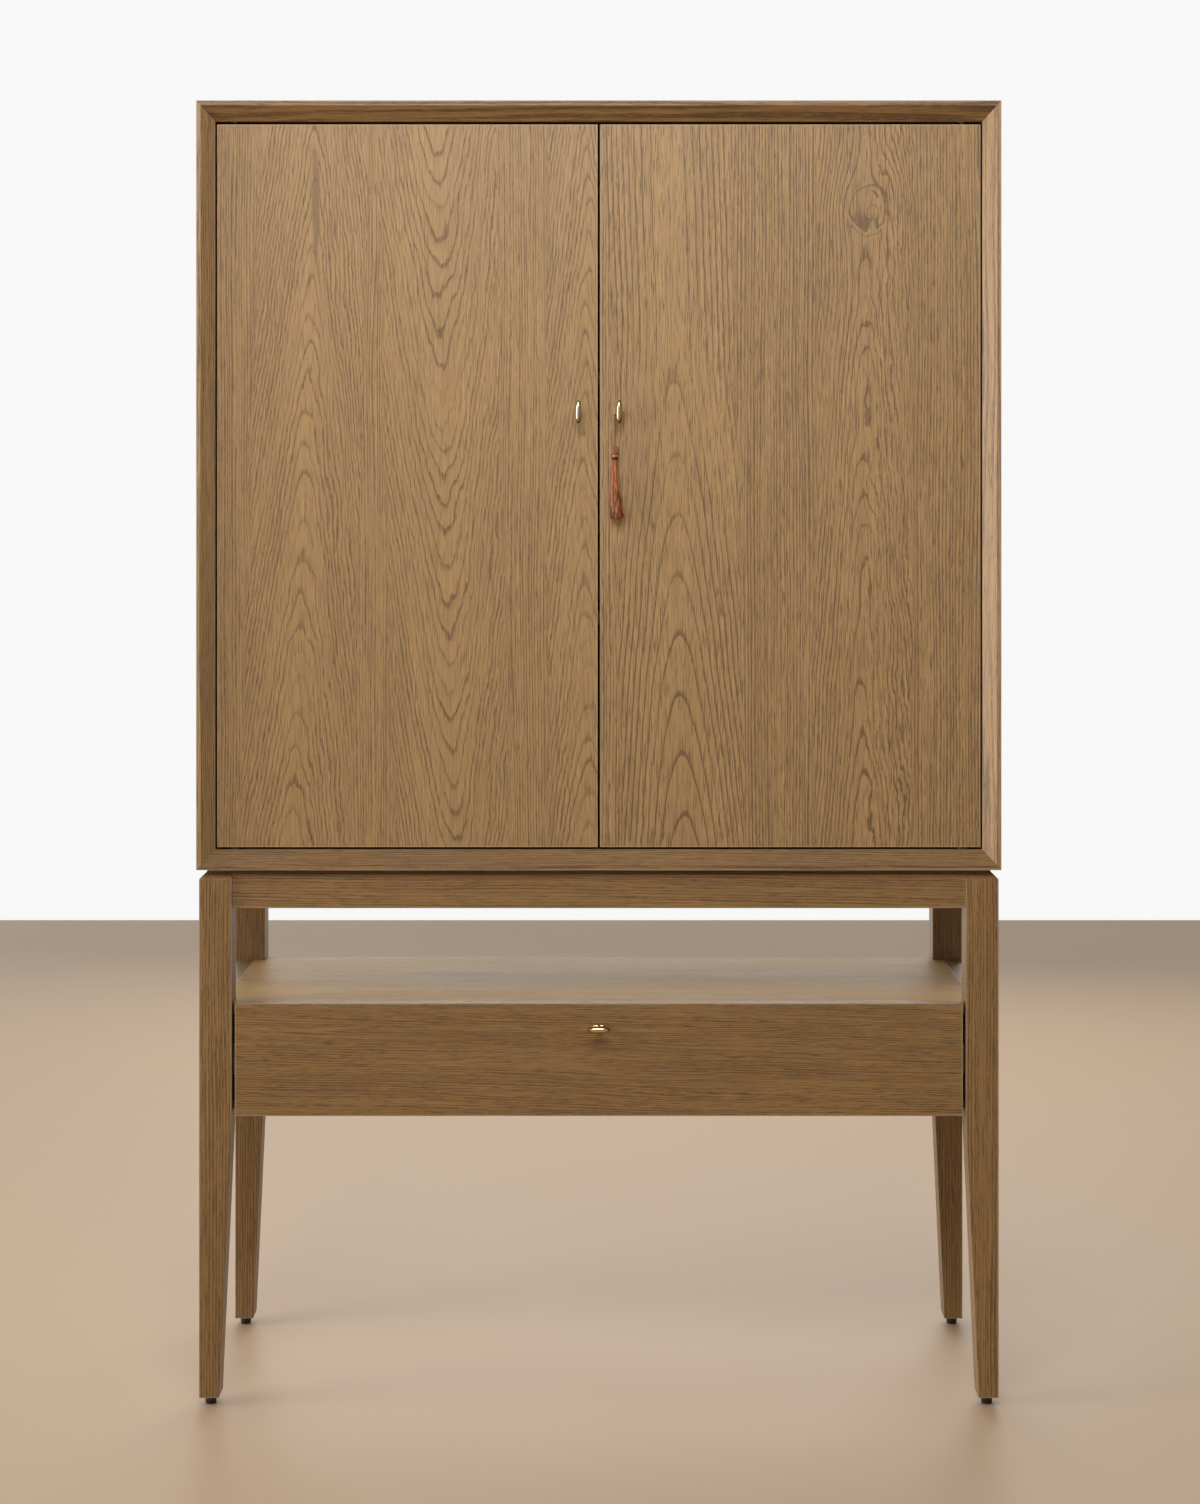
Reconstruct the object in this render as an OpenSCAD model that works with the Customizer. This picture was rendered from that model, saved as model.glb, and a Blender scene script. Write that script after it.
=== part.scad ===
// Two-door armoire on a tall open stand with one wide drawer.
// Sizes are in millimetres. The front faces -Y, +X is to the right as the
// doors are faced, +Z is up, and the origin is on the floor under the middle
// of the overall box, drawer knob included.

/* [Case] */
// Width of the upper case
case_w = 1225; // [1160:5:1300]
// Depth of the upper case
case_d = 465; // [440:5:520]
// Height of the upper case
case_h = 1171; // [1100:1:1260]
// Thickness of the case sides
side_t = 26; // [24:1:32]
// Thickness of the case top and bottom
deck_t = 29; // [26:1:34]
// Depth of the slanted front edge that frames the doors
bevel_d = 21; // [12:1:26]
// Share of each board's thickness left flat at the front
strip_part = 0.26; // [0.2:0.02:0.4]
// Thickness of the case back
back_t = 6; // [4:1:8]
// Thickness of the shelves in the case
shelf_t = 20; // [16:1:22]
// Height of the lower shelf's underside above the case's underside
lower_shelf_rise = 371; // [340:1:400]
// Height of the upper shelf's underside above the case's underside
upper_shelf_rise = 742; // [720:1:760]

/* [Doors] */
// Thickness of the doors
door_t = 22; // [18:1:24]
// Gap between a door and the case side
side_gap = 3; // [3:0.5:4]
// Gap between the two doors
middle_gap = 3.6; // [3:0.2:5]
// Gap above the doors
top_gap = 4.5; // [3.5:0.5:6]
// Gap below the doors
bottom_gap = 3.5; // [3.5:0.5:5]
// Distance of a pivot from its door's outer edge
pivot_inset = 26; // [26:1:34]
// Height of the door knobs above the floor
knob_height = 1517; // [1450:1:1560]
// Distance of each door knob from the middle of the case
knob_side = 31; // [28:1:60]

/* [Stand] */
// Width over the legs
stand_w = 1219; // [1160:1:1290]
// Height from the floor to the underside of the case
stand_h = 820; // [780:1:860]
// Distance that the case front stands ahead of the legs
case_proud = 8; // [4:1:12]
// Width of a leg at its top
leg_w = 50; // [46:1:56]
// Depth of a leg
leg_d = 48; // [44:1:52]
// Width of a leg at its foot
foot_w = 30; // [26:1:36]
// Slope cut on the outer edges of a leg's top
leg_chamfer = 11; // [8:1:12]
// Height of the aprons under the case
apron_h = 56; // [50:1:70]
// Thickness of the aprons
apron_t = 22; // [20:1:24]
// Distance of the aprons and side panels behind the legs' outer faces
recess = 6.5; // [4:0.5:8]
// Height of the dark neck between stand and case
neck_h = 4; // [3:1:6]
// Height of the levelling feet that shows under the legs
foot_h = 14; // [10:1:16]

/* [Drawer bay] */
// Height of the open shelf's top above the floor
bay_top = 615.5; // [600:0.5:640]
// Height of the bay's underside above the floor
bay_floor = 450; // [435:1:455]
// Thickness of the open shelf
bay_shelf_t = 20; // [16:1:24]
// Thickness of the side panels
panel_t = 26; // [20:1:28]
// Width of the drawer front
front_w = 1110; // [1050:1:1112]
// Thickness of the drawer front
front_t = 22; // [18:1:22]
// Distance that the drawer front hangs below the bay
front_drop = 6; // [0:1:10]
// Height of the drawer box
box_h = 114; // [90:1:116]
// Thickness of the drawer box boards
box_t = 15; // [12:1:16]

/* [Knobs and tassel] */
// Length of a knob's bar
knob_l = 35; // [30:1:42]
// Width of a knob's bar
knob_w = 8.8; // [8:0.2:11]
// Distance that a knob stands out
knob_out = 32; // [32:1:36]
// Length of the tassel's thread below its ring
thread_l = 47; // [40:1:60]
// Length of the tassel's skirt
skirt_l = 89; // [70:1:100]
// Radius of the tassel's skirt at its lower end
skirt_r = 11; // [8:0.5:11]

/* [Hidden] */
$fn = 48;

oak = [0.62, 0.48, 0.33];
stand_oak = [0.53, 0.39, 0.24];
box_birch = [0.80, 0.69, 0.52];
brass = [0.80, 0.64, 0.36];
steel = [0.70, 0.71, 0.73];
black = [0.07, 0.07, 0.07];
rust_thread = [0.58, 0.27, 0.14];
dark_thread = [0.12, 0.10, 0.14];

// Front-to-back places, worked out so that the overall box is centred on y = 0
front_recess = 1;
knob_lead = knob_out - front_recess - case_proud;
case_front = -(case_d + knob_lead) / 2 + knob_lead;
case_rear = case_front + case_d;
stand_front = case_front + case_proud;
door_face = case_front + bevel_d;
door_rear = door_face + door_t;
pivot_y = door_face + door_t / 2;
shelf_front = door_rear + 24;

// Heights and half widths of the case
case_z = stand_h;
case_top_z = stand_h + case_h;
inner_x = case_w / 2 - side_t;
inner_z = case_z + deck_t;
inner_top_z = case_top_z - deck_t;
door_z = inner_z + bottom_gap;
door_top_z = inner_top_z - top_gap;
door_edge_x = inner_x - side_gap;
pivot_x = door_edge_x - pivot_inset;
rebate = 10;

// Pivot pins, screws and shelf pins
pin_r = 4;
pin_in_door = 28;
pin_in_deck = 12;
bush_r = 7;
bush_l = 14;
run_gap = 0.05;
screw_r = 2;
back_screw_l = 22;
back_screw_r = 1.75;
shelf_pin_r = 2.5;
pin_pitch = 32;
pin_rows = [shelf_front + 40, case_rear - 50];

// Stand
leg_top = stand_h - neck_h;
leg_in_x = stand_w / 2 - leg_w;
rear_leg_y = case_rear - leg_d;
shelf_edge = stand_front + 24;
bay_rear = case_rear - 20;
panel_in_x = stand_w / 2 - recess - panel_t;
stem_r = 4;
insert_r = 6;
insert_l = 30;
block_h = 40;
block_leg = 80;
bolt_at = 38;
bolt_r = 3;
neck_strip = 62;

// Drawer and its runners
runner_l = 400;
runner_h = 45;
runner_wall = 1.2;
runner_z = bay_floor + 76;
runner_y = shelf_edge + 0.5;
box_side_x = leg_in_x - 12.7;
box_z = bay_floor + 19;
box_front = stand_front + front_recess + front_t;
box_rear = runner_y + runner_l - 7.5;
bottom_t = 6;
groove = 6;
bottom_z = box_z + 8;
front_z = bay_floor - front_drop;
drawer_knob_z = bay_top - 35;

// Knob and tassel
foot_l = 17.5;
foot_w_knob = 6.5;
foot_t = 4;
neck_r = 3;
knob_bore = 12;
ring_out = 13;
ring_wire = 0.8;
ring_mid = 6.8;
ring_z = knob_height + neck_r + 0.3 + ring_wire - ring_mid;
thread_r = 0.75;
thread_side = 6.6;
thread_x = knob_side - thread_side;
thread_y = door_face - ring_out;
thread_top = ring_z - sqrt(ring_mid * ring_mid - thread_side * thread_side);
head_r = 5.6;
head_h = 14;
band_r = 5.1;
band_h = 8;
head_top = thread_top - thread_l;
band_top = head_top - head_h;
skirt_top = band_top - band_h;

// A block between two opposite corners
module block(low, high) {
    translate(low) cube(high - low);
}

// A tube or rod along Z between two heights
module rod(r, z0, z1) {
    translate([0, 0, z0]) cylinder(r = r, h = z1 - z0);
}

// Children, and their mirror image on the other side of x = 0
module both_sides() {
    children();
    mirror([1, 0, 0]) children();
}

// ---------------------------------------------------------------- case

// Cross-section of a case board: depth from the front, then distance inward
function board_section(t) = [
    [0, 0], [0, strip_part * t], [bevel_d, t], [case_d - back_t, t],
    [case_d - back_t, t - rebate], [case_d, t - rebate], [case_d, 0]
];

// A board of the case's top or bottom, outer face at z = 0, mitred at its ends
module deck_board() {
    intersection() {
        translate([-case_w / 2, case_front, 0])
            rotate([90, 0, 90])
                linear_extrude(case_w)
                    polygon(board_section(deck_t));
        translate([0, case_rear, 0])
            rotate([90, 0, 0])
                linear_extrude(case_d)
                    polygon([
                        [-case_w / 2, 0], [case_w / 2, 0],
                        [inner_x, deck_t], [-inner_x, deck_t]
                    ]);
    }
}

// A side board of the case on the right, mitred at its ends
module side_board() {
    intersection() {
        translate([0, 0, case_z])
            linear_extrude(case_h)
                polygon([
                    for (p = board_section(side_t)) [case_w / 2 - p[1], case_front + p[0]]
                ]);
        translate([0, case_rear, 0])
            rotate([90, 0, 0])
                linear_extrude(case_d)
                    polygon([
                        [case_w / 2, case_z], [inner_x, inner_z],
                        [inner_x, inner_top_z], [case_w / 2, case_top_z]
                    ]);
    }
}

// Where the case back is screwed on, all round its edge
module at_back_screws() {
    screw_x = inner_x + rebate / 2;
    for (i = [0 : 4], x = [-screw_x, screw_x])
        translate([x, case_rear, inner_z + 40 + i * (case_h - 2 * deck_t - 80) / 4])
            children();
    for (i = [-1 : 1], z = [inner_z - rebate / 2, inner_top_z + rebate / 2])
        translate([i * (inner_x - 120), case_rear, z])
            children();
}

// A countersunk screw whose flat head is at y = 0 and whose shank runs to -Y
module flush_screw() {
    rotate([90, 0, 0]) {
        cylinder(r1 = 2 * back_screw_r, r2 = back_screw_r, h = back_screw_r);
        cylinder(r = back_screw_r, h = back_screw_l);
    }
}

module pivot_hole() {
    translate([pivot_x, pivot_y, 0]) rod(bush_r, deck_t - bush_l, deck_t + 1);
}

module case_top() {
    color(oak)
        difference() {
            translate([0, 0, case_top_z])
                mirror([0, 0, 1])
                    difference() {
                        deck_board();
                        both_sides() pivot_hole();
                    }
            at_back_screws() flush_screw();
        }
}

module case_bottom() {
    color(oak)
        difference() {
            translate([0, 0, case_z])
                difference() {
                    deck_board();
                    both_sides() pivot_hole();
                }
            at_back_screws() flush_screw();
            at_case_bolts() rod(bolt_r, -1, neck_h + 20);
        }
}

// Rows of blind holes for the shelf pins
module shelf_pin_holes() {
    for (rise = [lower_shelf_rise, upper_shelf_rise], i = [-3 : 3], y = pin_rows)
        translate([inner_x - 1, y, case_z + rise - shelf_pin_r + i * pin_pitch])
            rotate([0, 90, 0])
                cylinder(r = shelf_pin_r + run_gap, h = 12);
}

module case_side_right() {
    color(oak)
        difference() {
            side_board();
            shelf_pin_holes();
            at_back_screws() flush_screw();
        }
}

module case_side_left() {
    color(oak)
        difference() {
            mirror([1, 0, 0])
                difference() {
                    side_board();
                    shelf_pin_holes();
                }
            at_back_screws() flush_screw();
        }
}

module case_back() {
    reach = rebate - 0.5;
    color(oak)
        difference() {
            block(
                [-inner_x - reach, case_rear - back_t, inner_z - reach],
                [inner_x + reach, case_rear, inner_top_z + reach]
            );
            at_back_screws() flush_screw();
        }
}

module back_screws() {
    color(steel) at_back_screws() flush_screw();
}

module case_shelf(rise) {
    color(oak)
        block(
            [-inner_x + 1, shelf_front, case_z + rise],
            [inner_x - 1, case_rear - back_t - 2, case_z + rise + shelf_t]
        );
}

module lower_shelf() {
    case_shelf(lower_shelf_rise);
}

module upper_shelf() {
    case_shelf(upper_shelf_rise);
}

// One pin: a round shank in the side board and a flat tab under the shelf
module shelf_pin() {
    rotate([0, 90, 0]) translate([0, 0, -8]) cylinder(r = shelf_pin_r, h = 18);
    block([-10, -5, -0.5], [-1.2, 5, shelf_pin_r]);
}

module shelf_pins() {
    color(steel)
        both_sides()
            for (rise = [lower_shelf_rise, upper_shelf_rise], y = pin_rows)
                translate([inner_x, y, case_z + rise - shelf_pin_r])
                    shelf_pin();
}

// A flanged bush, mouth at z = 0, sunk downward into its board
module bush(flange_t) {
    difference() {
        union() {
            rod(bush_r, -bush_l, flange_t);
            rod(bush_r + 3, 0, flange_t);
        }
        rod(pin_r + run_gap, -bush_l + 1, flange_t + 1);
    }
}

module pivot_bushes() {
    color(brass)
        both_sides() {
            translate([pivot_x, pivot_y, inner_z]) bush(bottom_gap - 0.5);
            translate([pivot_x, pivot_y, inner_top_z]) mirror([0, 0, 1]) bush(1);
        }
}

module door_catches() {
    color(black)
        both_sides()
            block([10, door_rear + 2, inner_top_z - 24], [50, door_rear + 24, inner_top_z]);
}

// ---------------------------------------------------------------- doors

// The right door with its pivot sockets and its knob's screw hole
module door_leaf() {
    difference() {
        block([middle_gap / 2, door_face, door_z], [door_edge_x, door_rear, door_top_z]);
        translate([pivot_x, pivot_y, 0]) {
            rod(pin_r, door_z - 1, door_z + pin_in_door);
            rod(pin_r, door_top_z - pin_in_door, door_top_z + 1);
        }
        translate([knob_side, door_rear + 1, knob_height])
            rotate([90, 0, 0])
                cylinder(r = screw_r + 0.1, h = door_t + 2);
    }
}

module pivot_pin_pair() {
    translate([pivot_x, pivot_y, 0]) {
        rod(pin_r, inner_z - pin_in_deck, door_z + pin_in_door);
        rod(pin_r, door_top_z - pin_in_door, inner_top_z + pin_in_deck);
    }
}

// A knob with its foot at y = 0, standing out to -Y, its bar upright
module knob() {
    difference() {
        union() {
            rotate([90, 0, 0])
                linear_extrude(foot_t) {
                    square([foot_w_knob, foot_l - foot_w_knob], center = true);
                    for (z = [-1, 1])
                        translate([0, z * (foot_l - foot_w_knob) / 2])
                            circle(d = foot_w_knob);
                }
            rotate([90, 0, 0]) cylinder(r = neck_r, h = knob_out - knob_w / 2);
            translate([0, -knob_out + knob_w / 2, 0])
                rotate_extrude()
                    polygon([
                        for (a = [-90 : 7.5 : 90]) [knob_w / 2 * cos(a), knob_l / 2 * sin(a)]
                    ]);
        }
        translate([0, 1, 0])
            rotate([90, 0, 0])
                cylinder(r = screw_r + run_gap, h = knob_bore + 1);
    }
}

// A knob's screw: pan head on the inner face at y = grip, tip inside the knob
module knob_screw(grip) {
    translate([0, grip, 0])
        rotate([90, 0, 0]) {
            cylinder(r = screw_r, h = grip + knob_bore - 1);
            translate([0, 0, -2.5]) cylinder(r = 2.2 * screw_r, h = 2.5);
        }
}

module strike() {
    block([12, door_rear, door_top_z - 16], [48, door_rear + 1.5, door_top_z - 2]);
}

module at_right_knob() {
    translate([knob_side, door_face, knob_height]) children();
}

module left_door() {
    color(oak) mirror([1, 0, 0]) door_leaf();
}

module left_pivot_pins() {
    color(brass) mirror([1, 0, 0]) pivot_pin_pair();
}

module left_knob() {
    color(brass) mirror([1, 0, 0]) at_right_knob() knob();
}

module left_knob_screw() {
    color(steel) mirror([1, 0, 0]) at_right_knob() knob_screw(door_t);
}

module left_strike() {
    color(steel) mirror([1, 0, 0]) strike();
}

module right_door() {
    color(oak) door_leaf();
}

module right_pivot_pins() {
    color(brass) pivot_pin_pair();
}

module right_knob() {
    color(brass) at_right_knob() knob();
}

module right_knob_screw() {
    color(steel) at_right_knob() knob_screw(door_t);
}

module right_strike() {
    color(steel) strike();
}

// ---------------------------------------------------------------- tassel

module tassel_ring() {
    color(brass)
        translate([knob_side, thread_y, ring_z])
            rotate([90, 0, 0])
                rotate_extrude()
                    translate([ring_mid, 0])
                        circle(r = ring_wire, $fn = 24);
}

// The thread hangs straight down, so its rings are level and evenly spaced
THREAD_SIDES = 8;
THREAD_RINGS = 16;

function thread_ring(z) = [
    for (i = [0 : THREAD_SIDES - 1])
        let (a = 360 * i / THREAD_SIDES)
            [thread_x + thread_r * cos(a), thread_y + thread_r * sin(a), z]
];

module tassel_thread() {
    last = THREAD_RINGS - 1;
    points = [
        for (j = [0 : last]) each thread_ring(head_top + j * thread_l / last)
    ];
    walls = [
        for (j = [0 : last - 1], i = [0 : THREAD_SIDES - 1])
            let (k = (i + 1) % THREAD_SIDES)
                [
                    j * THREAD_SIDES + i, (j + 1) * THREAD_SIDES + i,
                    (j + 1) * THREAD_SIDES + k, j * THREAD_SIDES + k
                ]
    ];
    lower_end = [for (i = [0 : THREAD_SIDES - 1]) i];
    upper_end = [for (i = [THREAD_SIDES - 1 : -1 : 0]) last * THREAD_SIDES + i];
    color(rust_thread) polyhedron(points, concat(walls, [lower_end, upper_end]));
}

module at_thread(z) {
    translate([thread_x, thread_y, z]) children();
}

module tassel_head() {
    color(rust_thread)
        at_thread(band_top)
            rotate_extrude()
                polygon([
                    [0, 0], [0.85 * head_r, 0], [head_r, 0.3 * head_h],
                    [head_r, 0.65 * head_h], [0.7 * head_r, 0.9 * head_h], [0, head_h]
                ]);
}

module tassel_band() {
    color(dark_thread) at_thread(skirt_top) cylinder(r = band_r, h = band_h);
}

module tassel_skirt() {
    color(rust_thread)
        at_thread(skirt_top - skirt_l)
            cylinder(r1 = skirt_r, r2 = 0.9 * band_r, h = skirt_l);
}

// ---------------------------------------------------------------- stand

// One leg, the front left one: straight outside, tapered inside below the bay
module leg() {
    outer_x = -stand_w / 2;
    intersection() {
        translate([0, stand_front + leg_d, 0])
            rotate([90, 0, 0])
                linear_extrude(leg_d)
                    polygon([
                        [outer_x, foot_h], [outer_x + foot_w, foot_h],
                        [-leg_in_x, bay_floor], [-leg_in_x, leg_top],
                        [outer_x + leg_chamfer, leg_top], [outer_x, leg_top - leg_chamfer]
                    ]);
        translate([outer_x - 1, stand_front, 0])
            rotate([90, 0, 90])
                linear_extrude(leg_w + 2)
                    polygon([
                        [0, 0], [leg_d, 0], [leg_d, leg_top],
                        [leg_chamfer, leg_top], [0, leg_top - leg_chamfer]
                    ]);
    }
}

// Children made for the front left corner, moved to the corner asked for
module corner(side, depth) {
    mid_y = (stand_front + case_rear) / 2;
    translate([0, depth > 0 ? 2 * mid_y : 0, 0])
        mirror([0, depth > 0 ? 1 : 0, 0])
            mirror([side > 0 ? 1 : 0, 0, 0])
                children();
}

module each_corner() {
    for (side = [-1, 1], depth = [-1, 1])
        corner(side, depth) children();
}

foot_x = -stand_w / 2 + foot_w / 2;
foot_y = stand_front + leg_d / 2;

module bored_leg(side, depth) {
    color(stand_oak)
        corner(side, depth)
            difference() {
                leg();
                translate([foot_x, foot_y, 0]) rod(insert_r, 0, foot_h + insert_l + 6);
            }
}

module front_left_leg() {
    bored_leg(-1, -1);
}

module front_right_leg() {
    bored_leg(1, -1);
}

module rear_left_leg() {
    bored_leg(-1, 1);
}

module rear_right_leg() {
    bored_leg(1, 1);
}

module leg_inserts() {
    color(steel)
        each_corner()
            translate([foot_x, foot_y, 0])
                difference() {
                    rod(insert_r, foot_h, foot_h + insert_l);
                    rod(stem_r + run_gap, foot_h - 1, foot_h + insert_l + 1);
                }
}

// A levelling foot: a pad on the floor and a stem that turns in the insert
module level_foot(side, depth) {
    color(black)
        corner(side, depth)
            translate([foot_x, foot_y, 0]) {
                rod(8.2, 0, 2);
                rod(8.6, 2, foot_h - 1);
                rod(stem_r, foot_h - 2, foot_h + 24);
            }
}

module front_left_foot() {
    level_foot(-1, -1);
}

module front_right_foot() {
    level_foot(1, -1);
}

module rear_left_foot() {
    level_foot(-1, 1);
}

module rear_right_foot() {
    level_foot(1, 1);
}

// Cross-section of an apron: depth from its face, then height
function apron_section() = [
    [0, leg_top - apron_h], [apron_t, leg_top - apron_h], [apron_t, leg_top],
    [leg_chamfer - recess, leg_top], [0, leg_top - leg_chamfer + recess]
];

module long_apron() {
    translate([-leg_in_x, stand_front + recess, 0])
        rotate([90, 0, 90])
            linear_extrude(2 * leg_in_x)
                polygon(apron_section());
}

module short_apron() {
    translate([-stand_w / 2 + recess, rear_leg_y, 0])
        rotate([90, 0, 0])
            linear_extrude(rear_leg_y - stand_front - leg_d)
                polygon(apron_section());
}

module front_apron() {
    color(stand_oak) long_apron();
}

module rear_apron() {
    color(stand_oak) corner(-1, 1) long_apron();
}

module left_apron() {
    color(stand_oak) short_apron();
}

module right_apron() {
    color(stand_oak) corner(1, -1) short_apron();
}

// Where the stand is bolted up into the case, just inside each corner block
module at_case_bolts() {
    each_corner()
        translate([
            -stand_w / 2 + recess + apron_t + bolt_at,
            stand_front + recess + apron_t + bolt_at,
            leg_top
        ])
            children();
}

module neck_frame() {
    outer_x = stand_w / 2 - leg_chamfer;
    color(stand_oak)
        difference() {
            block(
                [-outer_x, stand_front + leg_chamfer, leg_top],
                [outer_x, case_rear - leg_chamfer, stand_h]
            );
            block(
                [-outer_x + neck_strip, stand_front + leg_chamfer + neck_strip, leg_top - 1],
                [outer_x - neck_strip, case_rear - leg_chamfer - neck_strip, stand_h + 1]
            );
            at_case_bolts() rod(bolt_r + 0.2, -1, neck_h + 1);
        }
}

module corner_blocks() {
    leg_x = leg_w - recess - apron_t;
    leg_y = leg_d - recess - apron_t;
    color(box_birch)
        difference() {
            each_corner()
                translate([
                    -stand_w / 2 + recess + apron_t,
                    stand_front + recess + apron_t,
                    leg_top - block_h
                ])
                    linear_extrude(block_h)
                        polygon([
                            [leg_x, 0], [block_leg, 0], [0, block_leg], [0, leg_y], [leg_x, leg_y]
                        ]);
            at_case_bolts() rod(bolt_r + 0.2, -block_h - 1, 1);
        }
}

module case_bolts() {
    color(steel)
        at_case_bolts() {
            rod(bolt_r, -block_h, neck_h + 19);
            rod(8, -block_h - 1.5, -block_h);
            translate([0, 0, -block_h - 5.5]) cylinder(r = 5.5, h = 4, $fn = 6);
        }
}

// ---------------------------------------------------------------- drawer bay

// A board that fills the bay's plan and is notched round the four legs
module notched_board(z0, z1) {
    leg_back = stand_front + leg_d;
    translate([0, 0, z0])
        linear_extrude(z1 - z0)
            polygon([
                [-leg_in_x, shelf_edge], [leg_in_x, shelf_edge],
                [leg_in_x, leg_back], [panel_in_x, leg_back],
                [panel_in_x, rear_leg_y], [leg_in_x, rear_leg_y],
                [leg_in_x, bay_rear], [-leg_in_x, bay_rear],
                [-leg_in_x, rear_leg_y], [-panel_in_x, rear_leg_y],
                [-panel_in_x, leg_back], [-leg_in_x, leg_back]
            ]);
}

module open_shelf() {
    color(stand_oak) notched_board(bay_top - bay_shelf_t, bay_top);
}

module bay_bottom() {
    color(stand_oak) notched_board(bay_floor, bay_floor + 12);
}

module bay_back() {
    color(stand_oak)
        block(
            [-leg_in_x, bay_rear - 12, bay_floor + 12],
            [leg_in_x, bay_rear, bay_top - bay_shelf_t]
        );
}

module side_panel() {
    block(
        [panel_in_x, stand_front + leg_d, bay_floor],
        [panel_in_x + panel_t, rear_leg_y, bay_top]
    );
}

module left_side_panel() {
    color(stand_oak) mirror([1, 0, 0]) side_panel();
}

module right_side_panel() {
    color(stand_oak) side_panel();
}

// A channel of the right runner: its web at one side and two walls towards
// the other, from x0 to x1, h high
module channel(x0, x1, h, web_at_x1, y0, length) {
    web_x = web_at_x1 ? x1 - runner_wall : x0;
    translate([0, y0, runner_z]) {
        block([web_x, 0, -h / 2], [web_x + runner_wall, length, h / 2]);
        block([x0, 0, h / 2 - runner_wall], [x1, length, h / 2]);
        block([x0, 0, -h / 2], [x1, length, -h / 2 + runner_wall]);
    }
}

module runner_outers() {
    color(steel)
        both_sides() channel(leg_in_x - 9, leg_in_x, runner_h, true, runner_y, runner_l);
}

module runner_middles() {
    color(steel)
        both_sides()
            channel(leg_in_x - 10.5, leg_in_x - 2, runner_h - 7, true, runner_y, runner_l - 4);
}

module runner_inners() {
    color(steel)
        both_sides()
            channel(
                box_side_x, leg_in_x - 4.5, runner_h - 14, false, box_front, box_rear - box_front
            );
}

// ---------------------------------------------------------------- drawer

module at_front_screws() {
    for (x = [-1, 1], z = [28, box_h - 20])
        translate([x * (box_side_x - 90), box_front + box_t, box_z + z])
            children();
}

module fixing_screw() {
    rotate([90, 0, 0]) {
        cylinder(r = screw_r, h = box_t + 15);
        translate([0, 0, -2.5]) cylinder(r = 2.2 * screw_r, h = 2.5);
    }
}

module at_drawer_knob() {
    translate([0, box_front - front_t, drawer_knob_z]) children();
}

module drawer_screw_holes() {
    at_front_screws() rotate([90, 0, 0]) rod(screw_r, -1, box_t + 15);
    at_drawer_knob() rotate([90, 0, 0]) rod(screw_r + 0.1, -front_t - box_t - 1, 1);
}

module drawer_front() {
    color(stand_oak)
        difference() {
            block(
                [-front_w / 2, box_front - front_t, front_z],
                [front_w / 2, box_front, bay_top]
            );
            drawer_screw_holes();
        }
}

module drawer_bottom_panel(extra) {
    side_x = box_side_x - box_t + groove + extra;
    block(
        [-side_x, box_front + box_t - groove - extra, bottom_z - extra],
        [side_x, box_rear - box_t + groove + extra, bottom_z + bottom_t + extra]
    );
}

module box_board(low, high) {
    color(box_birch)
        difference() {
            block(low, high);
            drawer_bottom_panel(0.1);
            drawer_screw_holes();
        }
}

module drawer_box_front() {
    box_board(
        [-box_side_x + box_t, box_front, box_z],
        [box_side_x - box_t, box_front + box_t, box_z + box_h]
    );
}

module drawer_back() {
    box_board(
        [-box_side_x + box_t, box_rear - box_t, box_z],
        [box_side_x - box_t, box_rear, box_z + box_h]
    );
}

module drawer_side_left() {
    box_board(
        [-box_side_x, box_front, box_z],
        [-box_side_x + box_t, box_rear, box_z + box_h]
    );
}

module drawer_side_right() {
    box_board(
        [box_side_x - box_t, box_front, box_z],
        [box_side_x, box_rear, box_z + box_h]
    );
}

module drawer_bottom() {
    color(box_birch) drawer_bottom_panel(0);
}

module drawer_knob() {
    color(brass) at_drawer_knob() rotate([0, 90, 0]) knob();
}

module drawer_knob_screw() {
    color(steel) at_drawer_knob() knob_screw(front_t + box_t);
}

module front_fixing_screws() {
    color(steel) at_front_screws() fixing_screw();
}

// ---------------------------------------------------------------- nodes

case_top();
case_bottom();
case_side_left();
case_side_right();
case_back();
back_screws();
upper_shelf();
lower_shelf();
shelf_pins();
pivot_bushes();
door_catches();
left_door();
left_pivot_pins();
left_knob();
left_knob_screw();
left_strike();
right_door();
right_pivot_pins();
right_knob();
right_knob_screw();
right_strike();
tassel_ring();
tassel_thread();
tassel_head();
tassel_band();
tassel_skirt();
neck_frame();
front_apron();
rear_apron();
left_apron();
right_apron();
front_left_leg();
front_right_leg();
rear_left_leg();
rear_right_leg();
corner_blocks();
case_bolts();
leg_inserts();
front_left_foot();
front_right_foot();
rear_left_foot();
rear_right_foot();
open_shelf();
left_side_panel();
right_side_panel();
bay_bottom();
bay_back();
runner_outers();
runner_middles();
runner_inners();
drawer_front();
drawer_box_front();
drawer_side_left();
drawer_side_right();
drawer_back();
drawer_bottom();
drawer_knob();
drawer_knob_screw();
front_fixing_screws();
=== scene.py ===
import math
import random

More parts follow.
